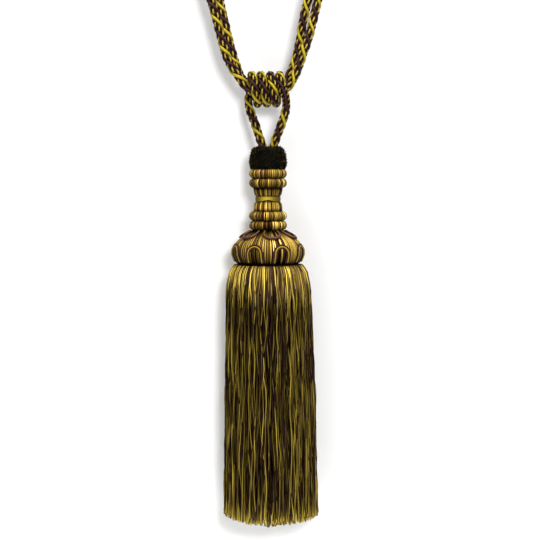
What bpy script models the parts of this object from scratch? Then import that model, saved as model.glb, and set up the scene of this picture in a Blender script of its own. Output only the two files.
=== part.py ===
"""A tasselled curtain tieback, hanging from its two eyes.

Units are metres and +Z is up. The origin lies on the tassel's axis, level with the insides of the
two eyes, where the wall hooks bear. The viewer stands at -Y, and +X is to the viewer's right.
"""

import math
import random

import bmesh
import bpy
from mathutils import Matrix, Vector

MM = 0.001
FIT = 0.3 * MM  # gap kept between solids that touch

# The twisted cord: two thick plies with two thin satin gimps laid in the grooves between them
CORD_RADIUS = 3.6 * MM
WRAP_RADIUS = 3.35 * MM  # the cord is drawn tighter where it wraps the knot
CORD_LAY = 25 * MM  # length of one turn of the twist, where no gimp was measured
CORD_STEP = 3.3 * MM  # spacing of the sections along a cord
GIMP_CROWN = 0.95  # crown of a gimp and floor of a groove, as shares of the cord's radius
GROOVE_FLOOR = 0.80

# The knot: the hanging cord wraps the doubled embrace cord, turn beside turn, along X
KNOT_DROP = 114.4 * MM  # centre of the knot below the hooks
KNOT_TURNS = 4
KNOT_PITCH = 7.3 * MM
KNOT_COIL = 11.5 * MM  # radius of the coil's centreline
KNOT_FIRST_TOP = -12.9 * MM  # x of the first turn where it crosses over the top
KNOT_SLANT = 0.6 * MM  # extra lean of each turn across the front
KNOT_START = -0.25  # turns before that first top, at the back, where the coil starts
KNOT_STEPS = 8  # route points in one turn

PAIR = 3.8 * MM  # half the distance between the doubled cords inside the knot
KNOT_ROLL = 28.0  # degrees by which the lower of the two comes forward there

# The eyes that go over the hooks
EYE_HALF = 11.4 * MM  # half the width of an eye, on the centreline
EYE_POINTS = (30, 60, 90, 120, 150)  # degrees round the top of an eye

# The two arms, a row for each station from the knot to the eye: x and height above the knot of the
# pair's middle, the roll of the pair about it (positive brings the outer cord forward), and half
# the distance between its cords. Millimetres and degrees.
LEFT_ARM = (
    (-6.5, 0.0, 34, 3.8),
    (-12.4, 0.5, 54, 3.8),
    (-16.9, 3.0, 74, 3.8),
    (-20.9, 7.6, 80, 3.8),
    (-24.0, 12.6, 72, 3.8),
    (-26.9, 18.2, 60, 3.8),
    (-30.2, 26.2, 48, 3.8),
    (-33.3, 36.8, 45, 3.8),
    (-36.3, 48.8, 44, 3.9),
    (-39.4, 61.2, 40, 3.9),
    (-42.2, 72.4, 25, 3.9),
    (-44.6, 81.8, 0, 4.2),
    (-47.0, 91.2, 0, 6.6),
    (-49.4, 100.6, 0, 9.8),
    (-51.5, 108.8, 0, 11.4),
)
RIGHT_ARM = (
    (5.5, 0.0, 30, 3.8),
    (10.6, 1.0, 44, 3.8),
    (14.8, 3.9, 54, 3.8),
    (18.0, 8.7, 57, 3.8),
    (20.6, 14.0, 57, 3.8),
    (23.0, 20.0, 57, 3.8),
    (25.2, 27.2, 55, 3.8),
    (27.8, 36.2, 42, 3.8),
    (30.0, 45.8, 24, 3.9),
    (32.6, 57.8, 8, 3.9),
    (36.0, 72.0, 0, 3.9),
    (38.2, 81.8, 0, 4.2),
    (40.4, 91.2, 0, 6.6),
    (42.5, 100.4, 0, 9.8),
    (44.4, 108.8, 0, 11.4),
)
# How far the twist has turned along each cord, from where its gimps cross the front: millimetres
# along the cord, and turns
EMBRACE_TWIST = (
    (15.5, 0.24),
    (28.0, -0.26),
    (39.5, -0.77),
    (51.0, -1.27),
    (65.0, -1.77),
    (75.6, -2.27),
    (198.5, -7.27),
    (208.0, -7.76),
    (220.3, -8.26),
    (231.0, -8.77),
    (241.7, -9.27),
    (253.2, -9.77),
    (263.5, -10.27),
    (317.5, -12.27),
    (330.0, -12.77),
    (341.0, -13.27),
    (353.0, -13.77),
    (366.0, -14.27),
    (377.5, -14.77),
    (505.5, -20.27),
    (516.0, -20.77),
    (526.2, -21.27),
    (538.0, -21.77),
    (549.0, -22.27),
    (557.5, -22.72),
)
HANGING_TWIST = (
    (10.5, 0.25),
    (22.3, -0.25),
    (35.0, -0.76),
    (47.2, -1.25),
    (93.2, -3.17),
    (104.3, -3.67),
    (166.8, -6.06),
    (179.7, -6.56),
    (238.8, -9.45),
    (251.5, -9.96),
    (311.0, -12.86),
    (319.5, -13.35),
    (327.5, -13.84),
    (337.0, -14.33),
    (350.0, -14.83),
    (362.7, -15.33),
)
HANGING_START = 0.075  # turns by which the hanging cord's first section is turned

# The hanging cord's two legs, from inside the collar up to the coil: x, y and height from the
# knot's centre, in millimetres. The left leg joins the coil behind, the right one in front.
LEFT_LEG = (
    (-4.0, 0.0, -56.2),
    (-4.0, 0.0, -49.2),
    (-4.7, 0.4, -44.2),
    (-7.3, 1.8, -36.6),
    (-9.9, 3.6, -28.6),
    (-12.6, 6.0, -21.2),
    (-14.9, 8.4, -14.6),
    (-15.8, 10.6, -7.4),
)
RIGHT_LEG = (
    (13.3, -11.4, -4.4),
    (14.4, -10.4, -10.4),
    (14.1, -8.6, -16.6),
    (12.2, -6.0, -23.8),
    (9.6, -3.6, -30.8),
    (6.9, -1.6, -37.8),
    (4.7, -0.4, -44.2),
    (4.0, 0.0, -49.2),
    (4.0, 0.0, -56.2),
)

# The tassel's head, from the top down
TASSEL_DROP = 160.8 * MM  # top of the collar below the hooks
COLLAR_HEIGHT = 16.8 * MM
COLLAR_WIDTH = 28.0 * MM
# The collar's outline: share of its half width, and share of its height from the top
COLLAR_OUTLINE = (
    (0.00, 0.00),
    (0.60, 0.00),
    (0.74, 0.06),
    (0.85, 0.16),
    (0.94, 0.34),
    (1.00, 0.58),
    (0.985, 0.84),
    (0.93, 0.98),
    (0.90, 1.00),
    (0.00, 1.00),
)
SOCKET_DEPTH = 10.6 * MM  # the blind slot in the collar that takes both legs
SOCKET_LENGTH = 17.4 * MM
SOCKET_WIDTH = 8.1 * MM
SOCKET_SIDES = 18
RING_WIDTH = 30.4 * MM
RING_HEIGHT = 7.1 * MM
SPOOL_HEIGHT = 18.6 * MM
# The spool's outline: radius in millimetres, and share of its height from the top
SPOOL_OUTLINE = (
    (11.6, 0.00),
    (11.3, 0.14),
    (10.3, 0.32),
    (9.2, 0.36),
    (9.2, 0.59),
    (10.4, 0.63),
    (11.3, 0.78),
    (11.4, 1.00),
)
BAND_MIDDLE = 0.475  # height of the ribbon band's middle, as a share from the spool's top
BAND_HEIGHT = 3.8 * MM
BAND_WIDTH = 20.4 * MM
BAND_THICKNESS = 0.6 * MM
BULB_WIDTH = 56.6 * MM
BULB_HEIGHT = 25.6 * MM
# The bulb's outline: share of its half width, and share of its height from the top
BULB_OUTLINE = (
    (0.42, 0.00),
    (0.54, 0.09),
    (0.65, 0.16),
    (0.77, 0.25),
    (0.88, 0.36),
    (0.95, 0.46),
    (1.00, 0.60),
    (1.00, 0.75),
    (0.955, 0.88),
    (0.91, 1.00),
)
TURNED_STEPS = 32
RIM_POINTS = 5
SLOPE_STEP = 0.03  # share of the bulb's height either side of a point whose slope is read

# The wound yarn's ribs, and how deep the grooves between them are
RING_RIBS = 22
SPOOL_RIBS = 20
BULB_RIBS = 32
RIB_DEPTH = 0.4 * MM
RIBBED_RIM = 0.55  # how far in from a ring's rim its ribs reach, as a share of its height

# Gimp loops: petals under the lowest ring and arches round the bulb
GIMP_RADIUS = 0.9 * MM
PETALS = 6
PETAL_FIRST = 10.0  # degrees round from the viewer, towards +X
PETAL_HALF_ANGLE = 27.0
PETAL_ROOT = 13.6 * MM  # distance from the axis
PETAL_TIP = 22.0 * MM
PETAL_POINTS = 9
PETAL_FULLNESS = 0.9  # below 1 a petal is blunter
PETAL_PINCH = 0.25  # how far its two roots are drawn together
SHOULDER = (8, 40)  # where petals lie, in hundredths of the bulb's height
ARCHES = 8
ARCH_FIRST = 23.0
ARCH_RADIUS = 1.0 * MM
ARCH_HALF_WIDTH = 6.1 * MM
ARCH_FOOT = 0.93  # height of an arch's feet and crown, as shares of the bulb's height
ARCH_CROWN = 0.47
ARCH_POINTS = 6

# The skirt of cut strands
SKIRT_LENGTH = 201.8 * MM
SKIRT_CAP_WIDTH = 52.4 * MM
SKIRT_CAP_HEIGHT = 7.0 * MM
SKIRT_SHIFT = 0.4 * MM  # the skirt hangs a little to the right, more so at its cut edge
SKIRT_LEAN = 2.6 * MM
SKIRT_CAP_BEVEL = 1.8 * MM  # breadth and depth of the bevel round the cap's upper edge
SKIRT_CAP_EDGE = 1.2 * MM
STRAND_ROOM = 0.82  # share of its pitch that a strand fills
STRAND_DEPTH = 0.75  # depth of a strand's section, as a share of its breadth
RAGGED = 1.8 * MM
# The outer strands: how far below the top, and distance from the axis, in millimetres
OUTER_STRAND = (
    (2.6, 23.6),
    (1.6, 27.9),
    (6.0, 31.4),
    (20.0, 34.3),
    (100.0, 36.4),
    (201.8, 38.4),
)
OUTER_STRANDS = 72
# The rings of strands inside the outer one: how many, and the distance from the axis of their
# roots and of their tips, in millimetres
INNER_STRANDS = (
    (48, 21.8, 33.2),
    (32, 17.0, 26.6),
    (16, 9.6, 15.4),
)
INNER_ROOT = 5.6 * MM  # roots of the inner strands, below the top of the cap
INNER_MIDDLE = (0.92, 0.4)  # where an inner strand bends: share of its tip's radius, and of its length
INNER_WIDTH = 2.6 * MM  # most breadth of an inner strand
# The skirt's waves, a row each: turns of the wave round the skirt, its shift with depth, and its
# size, in radians for those that swing aside and as a share of the radius for the one that swells
SWINGS = (
    (3, 9.0, 0.0120),
    (7, -14.0, 0.0072),
)
SWELL = (5, 4.0, 0.012)
SWAY_START = 20 * MM  # the sway begins this far below the top
LEAN_CURVE = 0.85  # below 1 the skirt leans earlier

# The materials: name, colour and roughness
CLOTHS = (
    ("two_tone_cord", (0.30, 0.20, 0.04), 0.60),
    ("dark_pile", (0.02, 0.015, 0.01), 0.95),
    ("wound_yarn", (0.50, 0.34, 0.06), 0.45),
    ("gold_ribbon", (0.62, 0.47, 0.05), 0.35),
    ("gimp", (0.28, 0.16, 0.08), 0.50),
    ("cut_strands", (0.24, 0.18, 0.04), 0.55),
)


def clear_scene():
    """Start from an empty scene."""
    for obj in list(bpy.data.objects):
        bpy.data.objects.remove(obj, do_unlink=True)


def collection(name):
    made = bpy.data.collections.new(name)
    bpy.context.scene.collection.children.link(made)
    return made


def cloth(name, colour, roughness):
    """A yarn material of one colour."""
    made = bpy.data.materials.new(name)
    made.use_nodes = True
    shader = made.node_tree.nodes["Principled BSDF"]
    shader.inputs["Base Color"].default_value = (*colour, 1.0)
    shader.inputs["Roughness"].default_value = roughness
    shader.inputs["Metallic"].default_value = 0.0
    return made


def place(name, data, material, where):
    """Make an object of this data, in this material and collection."""
    obj = bpy.data.objects.new(name, data)
    data.materials.append(material)
    where.objects.link(obj)
    return obj


def turned(name, profile, steps, material, where):
    """Spin a profile of (radius, z) points, outer side from top to bottom, round the Z axis."""
    mesh = bpy.data.meshes.new(name)
    points = [(radius, 0.0, z) for radius, z in profile]
    mesh.from_pydata(points, [(i, i + 1) for i in range(len(points) - 1)], [])
    obj = place(name, mesh, material, where)
    screw = obj.modifiers.new("Turn", "SCREW")
    screw.axis = "Z"
    screw.angle = math.tau
    screw.steps = screw.render_steps = steps
    screw.use_merge_vertices = True
    screw.merge_threshold = 0.01 * MM
    screw.use_smooth_shade = True
    return obj


def baked(obj):
    """Replace an object's data by its evaluated mesh, and drop its modifiers."""
    graph = bpy.context.evaluated_depsgraph_get()
    mesh = bpy.data.meshes.new_from_object(obj.evaluated_get(graph))
    name, matrix, where = obj.name, obj.matrix_world.copy(), obj.users_collection[0]
    bpy.data.objects.remove(obj, do_unlink=True)
    made = bpy.data.objects.new(name, mesh)
    made.matrix_world = matrix
    where.objects.link(made)
    return made


def ribbed(obj, ribs, depth, least=0.0):
    """Cut a groove between each rib of a turned piece of twice as many steps, past a least radius."""
    made = baked(obj)
    for vertex in made.data.vertices:
        radius = math.hypot(vertex.co.x, vertex.co.y)
        step = round(math.atan2(vertex.co.y, vertex.co.x) / math.tau * 2 * ribs)
        if radius > least and step % 2:
            vertex.co.x *= 1 - depth / radius
            vertex.co.y *= 1 - depth / radius
    return made


def boolean(obj, other, operation):
    """Join or cut with another object, then remove that object."""
    modifier = obj.modifiers.new(operation.title(), "BOOLEAN")
    modifier.operation = operation
    modifier.object = other
    made = baked(obj)
    bpy.data.objects.remove(other, do_unlink=True)
    return made


def smooth(points, pieces=8):
    """A Catmull-Rom curve through the points, as closely spaced points."""
    ends = [2 * points[0] - points[1], *points, 2 * points[-1] - points[-2]]
    line = []
    for a, b, c, d in zip(ends, ends[1:], ends[2:], ends[3:]):
        for k in range(pieces):
            t = k / pieces
            line.append(
                0.5 * (2 * b + (c - a) * t + (2 * a - 5 * b + 4 * c - d) * t**2
                       + (3 * b - a - 3 * c + d) * t**3)
            )
    return [*line, points[-1]]


def spaced(line, step):
    """Points along a line about a step apart, with each one's distance from the start."""
    along = [0.0]
    for a, b in zip(line, line[1:]):
        along.append(along[-1] + (b - a).length)
    count = max(1, round(along[-1] / step))
    found, i = [], 0
    for k in range(count + 1):
        at = along[-1] * k / count
        while i < len(line) - 2 and along[i + 1] < at:
            i += 1
        share = (at - along[i]) / max(along[i + 1] - along[i], 1e-9)
        found.append((line[i].lerp(line[i + 1], min(share, 1.0)), at))
    return found


def cord_section(where):
    """The cord's section for a curve's bevel: two plies and two gimps, with a groove between each."""
    crowns = (1.0, GROOVE_FLOOR, GIMP_CROWN, GROOVE_FLOOR) * 2
    curve = bpy.data.curves.new("cord_section", "CURVE")
    spline = curve.splines.new("POLY")
    spline.points.add(len(crowns) - 1)
    for k, crown in enumerate(crowns):
        angle = math.tau * k / len(crowns)
        radius = CORD_RADIUS * crown
        spline.points[k].co = (radius * math.cos(angle), -radius * math.sin(angle), 0.0, 1.0)
    spline.use_cyclic_u = True
    obj = bpy.data.objects.new("cord_section", curve)
    obj.hide_render = True
    obj.display_type = "WIRE"
    where.objects.link(obj)
    return obj


def turns_at(along, rows):
    """The turns of the twist at a distance along a cord, from rows of distance and turns."""
    first, last = rows[0], rows[-1]
    if along <= first[0] * MM:
        return first[1] + (first[0] * MM - along) / CORD_LAY
    for (start, before), (end, after) in zip(rows, rows[1:]):
        if along <= end * MM:
            return before + (after - before) * (along / MM - start) / (end - start)
    return last[1] - (along - last[0] * MM) / CORD_LAY


def twisted_cord(name, route, section, radius_at, turns, material, where):
    """A cord along a route, its section turned by the turns at each distance."""
    stations = spaced(smooth(route), CORD_STEP)
    curve = bpy.data.curves.new(name, "CURVE")
    curve.dimensions = "3D"
    curve.bevel_mode = "OBJECT"
    curve.bevel_object = section
    curve.use_fill_caps = True
    spline = curve.splines.new("POLY")
    spline.points.add(len(stations) - 1)
    for point, (place_at, along) in zip(spline.points, stations):
        point.co = (*place_at, 1.0)
        point.radius = radius_at(place_at) / CORD_RADIUS
        point.tilt = math.tau * turns(along)
    return place(name, curve, material, where)


def arm_cords(rows, side):
    """The outer and the inner cord of an arm, from the knot to where the eye closes."""
    middles = [Vector((x * MM, 0.0, z * MM - KNOT_DROP)) for x, z, _, _ in rows]
    outer, inner = [], []
    for i, (_, _, roll, half) in enumerate(rows):
        along = middles[min(i + 1, len(rows) - 1)] - middles[max(i - 1, 0)]
        along.normalize()
        outwards = Vector((side * along.z, 0.0, -side * along.x))
        turn = math.radians(roll)
        aside = outwards * math.cos(turn) + Vector((0.0, -1.0, 0.0)) * math.sin(turn)
        outer.append(middles[i] + aside * half * MM)
        inner.append(middles[i] - aside * half * MM)
    return outer, inner


def eye_bow(outer_end, inner_end, before):
    """The round top of an eye, from its outer cord over to its inner one."""
    middle = (outer_end + inner_end) / 2
    across = (outer_end - inner_end).normalized()
    up = (middle - before).normalized()
    turns = [math.radians(angle) for angle in EYE_POINTS]
    return [middle + EYE_HALF * (across * math.cos(t) + up * math.sin(t)) for t in turns]


def embrace_route():
    """One cord down both arms and round both eyes; its two ends meet inside the knot."""
    left_outer, left_inner = arm_cords(LEFT_ARM, -1)
    right_outer, right_inner = arm_cords(RIGHT_ARM, 1)
    left_middle = (left_outer[-2] + left_inner[-2]) / 2
    right_middle = (right_outer[-2] + right_inner[-2]) / 2
    right_bow = eye_bow(right_outer[-1], right_inner[-1], right_middle)
    left_bow = eye_bow(left_outer[-1], left_inner[-1], left_middle)
    end_gap = Vector((FIT, 0.0, 0.0))
    knot = Vector((0.0, 0.0, -KNOT_DROP))
    turn = math.radians(KNOT_ROLL)
    upper = knot + PAIR * Vector((0.0, math.sin(turn), math.cos(turn)))
    lower = knot - PAIR * Vector((0.0, math.sin(turn), math.cos(turn)))
    return [
        upper + end_gap,
        *right_inner,
        *reversed(right_bow),
        *reversed(right_outer),
        lower,
        *left_outer,
        *left_bow,
        *reversed(left_inner),
        upper - end_gap,
    ]


def coil_point(turns):
    """A point of the knot's coil, this many turns after it first crosses over the top."""
    angle = math.tau * turns
    x = KNOT_FIRST_TOP + KNOT_SLANT * (1 - math.cos(angle)) + KNOT_PITCH * turns
    y = -KNOT_COIL * math.sin(angle)
    z = KNOT_COIL * math.cos(angle) - KNOT_DROP
    return Vector((x, y, z))


def hanging_route():
    """Up the left leg, round the coil from its back to its front, and down the right leg."""
    knot = Vector((0.0, 0.0, -KNOT_DROP))
    left = [knot + Vector(point) * MM for point in LEFT_LEG]
    right = [knot + Vector(point) * MM for point in RIGHT_LEG]
    from_back, to_front = KNOT_START, KNOT_START + KNOT_TURNS - 0.5
    count = round((to_front - from_back) * KNOT_STEPS)
    coil = [coil_point(from_back + k / KNOT_STEPS) for k in range(count + 1)]
    return [*left, *coil, *right]


def make_cords(section, material, where):
    def hanging_radius(point):
        below = -KNOT_DROP - point.z - KNOT_COIL
        share = min(max(below / (2 * CORD_RADIUS), 0.0), 1.0)
        return WRAP_RADIUS + (CORD_RADIUS - WRAP_RADIUS) * share

    def embrace_turns(along):
        return turns_at(along, EMBRACE_TWIST)

    def hanging_turns(along):
        return HANGING_START + turns_at(along, HANGING_TWIST)

    route = embrace_route()
    twisted_cord("embrace_cord", route, section, lambda _: CORD_RADIUS, embrace_turns, material, where)
    route = hanging_route()
    twisted_cord("hanging_cord", route, section, hanging_radius, hanging_turns, material, where)


def rim(half_width, top, height, bulge, points=RIM_POINTS):
    """The profile of a solid disc with a rounded rim that bulges this far past its flat faces."""
    profile = [(0.0, top)]
    for k in range(points + 1):
        angle = math.pi * k / points
        z = top - height / 2 * (1 - math.cos(angle))
        profile.append((half_width - bulge * (1 - math.sin(angle)), z))
    return [*profile, (0.0, top - height)]


def make_collar(top, material, where, helpers):
    """The cut-pile collar, with a blind slot for the two legs."""
    half, height = COLLAR_WIDTH / 2, COLLAR_HEIGHT
    profile = [(half * r, top - height * z) for r, z in COLLAR_OUTLINE]
    collar = turned("collar", profile, TURNED_STEPS, material, where)
    build = bmesh.new()
    radius = SOCKET_WIDTH / 2
    bmesh.ops.create_cone(
        build, cap_ends=True, segments=SOCKET_SIDES, radius1=radius, radius2=radius,
        depth=2 * SOCKET_DEPTH, matrix=Matrix.Rotation(math.pi / SOCKET_SIDES, 4, "Z"),
    )
    for vertex in build.verts:
        vertex.co.x += math.copysign((SOCKET_LENGTH - SOCKET_WIDTH) / 2, vertex.co.x)
        vertex.co.z += top
    mesh = bpy.data.meshes.new("slot")
    build.to_mesh(mesh)
    build.free()
    slot = bpy.data.objects.new("slot", mesh)
    slot.hide_render = True
    slot.display_type = "WIRE"
    helpers.objects.link(slot)
    return boolean(collar, slot, "DIFFERENCE")


def make_ring(number, top, material, where):
    """A ring of yarn wound over and over round its rim."""
    profile = rim(RING_WIDTH / 2, top, RING_HEIGHT, RING_HEIGHT / 2)
    ring = turned(f"ring_{number}", profile, 2 * RING_RIBS, material, where)
    return ribbed(ring, RING_RIBS, RIB_DEPTH, RING_WIDTH / 2 - RIBBED_RIM * RING_HEIGHT)


def make_spool(top, material, band_material, where):
    """The waisted spool, and the ribbon band round its waist."""
    profile = [(0.0, top)]
    profile += [(radius * MM, top - SPOOL_HEIGHT * share) for radius, share in SPOOL_OUTLINE]
    profile.append((0.0, top - SPOOL_HEIGHT))
    spool = turned("spool", profile, 2 * SPOOL_RIBS, material, where)
    ribbed(spool, SPOOL_RIBS, RIB_DEPTH)
    outside = BAND_WIDTH / 2
    inside = outside - BAND_THICKNESS
    high = top - SPOOL_HEIGHT * BAND_MIDDLE + BAND_HEIGHT / 2
    low = high - BAND_HEIGHT
    section = [(inside, high), (outside, high), (outside, low), (inside, low), (inside, high)]
    turned("waist_band", section, TURNED_STEPS, band_material, where)


def bulb_radius(share):
    """The bulb's radius at a share of its height from the top."""
    for (r0, z0), (r1, z1) in zip(BULB_OUTLINE, BULB_OUTLINE[1:]):
        if z0 <= share <= z1:
            return BULB_WIDTH / 2 * (r0 + (r1 - r0) * (share - z0) / (z1 - z0))
    return BULB_WIDTH / 2 * BULB_OUTLINE[-1][0]


def bulb_slope(share):
    """The outward normal of the bulb's outline, as (radial, upward) parts."""
    low, high = min(share + SLOPE_STEP, 1.0), max(share - SLOPE_STEP, 0.0)
    rise = bulb_radius(low) - bulb_radius(high)
    fall = BULB_HEIGHT * (low - high)
    length = math.hypot(rise, fall)
    return fall / length, rise / length


def on_bulb(top, share, degrees, aside, lift):
    """A point over the bulb's face, this far aside of a bearing and lifted off the face."""
    radial, upward = bulb_slope(share)
    radius = bulb_radius(share) + radial * lift
    angle = math.radians(degrees) + aside / radius
    z = top - BULB_HEIGHT * share + upward * lift
    return Vector((radius * math.sin(angle), -radius * math.cos(angle), z))


def make_bulb(top, material, where):
    half = BULB_WIDTH / 2
    profile = [(0.0, top)]
    profile += [(half * r, top - BULB_HEIGHT * z) for r, z in BULB_OUTLINE]
    profile.append((0.0, top - BULB_HEIGHT))
    bulb = turned("bulb", profile, 2 * BULB_RIBS, material, where)
    ribbed(bulb, BULB_RIBS, RIB_DEPTH)


def gimp(name, points, radius, material, where):
    """A round gimp along these points."""
    curve = bpy.data.curves.new(name, "CURVE")
    curve.dimensions = "3D"
    curve.bevel_depth = radius
    curve.bevel_resolution = 1
    curve.use_fill_caps = True
    spline = curve.splines.new("POLY")
    spline.points.add(len(points) - 1)
    for point, co in zip(spline.points, points):
        point.co = (*co, 1.0)
    return place(name, curve, material, where)


def make_arches(bulb_top, material, where):
    """Arches of gimp round the lower half of the bulb, their feet in the groove below it."""
    lift = ARCH_RADIUS + FIT
    crown_rise = ARCH_HALF_WIDTH / BULB_HEIGHT
    spring = ARCH_CROWN + crown_rise
    for k in range(ARCHES):
        bearing = ARCH_FIRST + 360.0 * k / ARCHES
        points = []
        for share in (ARCH_FOOT, (ARCH_FOOT + spring) / 2):
            points.append(on_bulb(bulb_top, share, bearing, -ARCH_HALF_WIDTH, lift))
        for step in range(ARCH_POINTS):
            angle = math.pi * step / (ARCH_POINTS - 1)
            share = spring - crown_rise * math.sin(angle)
            aside = -ARCH_HALF_WIDTH * math.cos(angle)
            points.append(on_bulb(bulb_top, share, bearing, aside, lift))
        for share in ((ARCH_FOOT + spring) / 2, ARCH_FOOT):
            points.append(on_bulb(bulb_top, share, bearing, ARCH_HALF_WIDTH, lift))
        gimp(f"arch_{k + 1}", points, ARCH_RADIUS, material, where)


def make_petals(bulb_top, material, where):
    """Loops of gimp that stand out from under the lowest ring and lie on the bulb's shoulder."""
    lift = GIMP_RADIUS + FIT
    shoulder = [share / 100 for share in range(*SHOULDER)]
    for k in range(PETALS):
        bearing = PETAL_FIRST + 360.0 * k / PETALS
        points = []
        for step in range(PETAL_POINTS):
            t = math.pi * step / (PETAL_POINTS - 1)
            radius = PETAL_ROOT + (PETAL_TIP - PETAL_ROOT) * math.sin(t) ** PETAL_FULLNESS
            share = min(shoulder, key=lambda s: abs(bulb_radius(s) - radius))
            pinch = 1 - PETAL_PINCH * math.cos(t) ** 2
            turn = bearing - PETAL_HALF_ANGLE * math.cos(t) * pinch
            points.append(on_bulb(bulb_top, share, turn, 0.0, lift))
        gimp(f"petal_{k + 1}", points, GIMP_RADIUS, material, where)


def strand(build, bearing, path, width):
    """Add one three-sided strand: path is (radius, z) points down it, width its breadth at each."""
    turn = math.radians(bearing)
    out = Vector((math.sin(turn), -math.cos(turn), 0.0))
    side = Vector((math.cos(turn), math.sin(turn), 0.0))
    up = Vector((0.0, 0.0, 1.0))
    rows = []
    for i, (radius, z) in enumerate(path):
        ahead, behind = path[min(i + 1, len(path) - 1)], path[max(i - 1, 0)]
        down = Vector((ahead[0] - behind[0], ahead[1] - behind[1])).normalized()
        face = out * -down.y + up * down.x
        centre = out * radius + up * z
        half = width[i] / 2
        inner = centre - face * STRAND_DEPTH * width[i]
        corners = (centre + side * half, centre - side * half, inner)
        rows.append([build.verts.new(corner) for corner in corners])
    for upper, lower in zip(rows, rows[1:]):
        for a, b in ((0, 1), (1, 2), (2, 0)):
            build.faces.new((upper[a], upper[b], lower[b], lower[a]))
    build.faces.new(reversed(rows[0]))
    build.faces.new(rows[-1])


def outer_strand(build, k, top, chance):
    ragged = chance.uniform(-RAGGED, RAGGED)
    path, width = [], []
    for drop, radius in OUTER_STRAND:
        share = drop * MM / SKIRT_LENGTH
        path.append((radius * MM, top - drop * MM - ragged * share))
        width.append(STRAND_ROOM * math.tau * radius * MM / OUTER_STRANDS)
    strand(build, 360.0 * k / OUTER_STRANDS, path, width)


def inner_strands(build, top, chance):
    for count, root, tip in INNER_STRANDS:
        for k in range(count):
            end_z = top - SKIRT_LENGTH + chance.uniform(-RAGGED, RAGGED)
            inwards, down = INNER_MIDDLE
            middle = (inwards * tip * MM, top - down * SKIRT_LENGTH)
            path = [(root * MM, top - INNER_ROOT), middle, (tip * MM, end_z)]
            width = [STRAND_ROOM * math.tau * radius / count for radius, _ in path]
            width = [min(breadth, INNER_WIDTH) for breadth in width]
            strand(build, 360.0 * (k + 0.5) / count, path, width)


def sway(point, top):
    """How far the hanging strands drift aside at a point: a slow ripple and a lean, with depth."""
    depth = min(max((top - SWAY_START - point.z) / SKIRT_LENGTH, 0.0), 1.0)
    angle = math.atan2(point.x, -point.y)
    swing = depth * sum(size * math.sin(n * angle + shift * depth) for n, shift, size in SWINGS)
    waves, shift, size = SWELL
    radial = 1.0 + size * depth * math.sin(waves * angle + shift * depth)
    x = radial * (point.x * math.cos(swing) - point.y * math.sin(swing))
    y = radial * (point.x * math.sin(swing) + point.y * math.cos(swing))
    return Vector((x + SKIRT_SHIFT + SKIRT_LEAN * depth**LEAN_CURVE, y, point.z))


def make_skirt(top, material, where, helpers):
    """The skirt: strands that stand apart, their roots fused into a cap."""
    half = SKIRT_CAP_WIDTH / 2
    low = top - SKIRT_CAP_HEIGHT
    edge = top - SKIRT_CAP_EDGE
    profile = [(0.0, top), (half - SKIRT_CAP_BEVEL, top), (half, edge), (half, low), (0.0, low)]
    cap = turned("skirt", profile, TURNED_STEPS, material, where)
    chance = random.Random(7)
    build = bmesh.new()
    for k in range(OUTER_STRANDS):
        outer_strand(build, k, top, chance)
    inner_strands(build, top, chance)
    bmesh.ops.recalc_face_normals(build, faces=build.faces)
    mesh = bpy.data.meshes.new("strands")
    build.to_mesh(mesh)
    build.free()
    strands = place("strands", mesh, material, helpers)
    strands.hide_render = True
    strands.display_type = "WIRE"
    skirt = boolean(cap, strands, "UNION")
    for vertex in skirt.data.vertices:
        vertex.co = sway(vertex.co, top)
    return skirt


def main():
    clear_scene()
    where = collection("curtain_tieback")
    helpers = collection("helpers")
    rope, pile, yarn, ribbon, trim, fringe = (cloth(*row) for row in CLOTHS)

    make_cords(cord_section(helpers), rope, where)

    top = -TASSEL_DROP
    make_collar(top, pile, where, helpers)
    top -= COLLAR_HEIGHT + FIT
    for number in (1, 2):
        make_ring(number, top, yarn, where)
        top -= RING_HEIGHT + FIT
    make_spool(top, yarn, ribbon, where)
    top -= SPOOL_HEIGHT + FIT
    for number in (3, 4):
        make_ring(number, top, yarn, where)
        top -= RING_HEIGHT + FIT
    make_bulb(top, yarn, where)
    make_petals(top, trim, where)
    make_arches(top, trim, where)
    top -= BULB_HEIGHT + FIT
    make_skirt(top, fringe, where, helpers)


main()
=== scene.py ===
"""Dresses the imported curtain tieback: laid cords, wound yarn, gimps, a pile collar and a cut skirt.

Lengths are in metres, in the part's own frame: the tassel's axis is Z, the viewer stands at -Y,
and the origin is level with the insides of the two eyes. Tables say where they are in millimetres.
"""

import math
from typing import NamedTuple

import bpy
import numpy as np
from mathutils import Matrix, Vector


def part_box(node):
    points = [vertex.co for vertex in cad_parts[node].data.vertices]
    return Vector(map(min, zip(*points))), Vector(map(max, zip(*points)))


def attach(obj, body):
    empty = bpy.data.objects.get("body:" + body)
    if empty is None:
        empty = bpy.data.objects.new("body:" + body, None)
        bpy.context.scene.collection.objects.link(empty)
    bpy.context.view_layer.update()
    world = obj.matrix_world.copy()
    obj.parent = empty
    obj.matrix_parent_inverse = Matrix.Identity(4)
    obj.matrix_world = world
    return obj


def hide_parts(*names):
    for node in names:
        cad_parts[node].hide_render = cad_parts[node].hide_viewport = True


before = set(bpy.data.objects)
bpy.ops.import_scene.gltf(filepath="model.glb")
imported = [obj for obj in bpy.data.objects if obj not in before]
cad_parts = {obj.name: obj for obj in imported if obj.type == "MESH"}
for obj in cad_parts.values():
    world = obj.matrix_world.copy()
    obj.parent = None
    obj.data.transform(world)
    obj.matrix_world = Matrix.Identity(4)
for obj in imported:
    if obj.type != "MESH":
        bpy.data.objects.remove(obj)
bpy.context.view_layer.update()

MM = 0.001
TAU = math.tau
BODY = "root"

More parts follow.
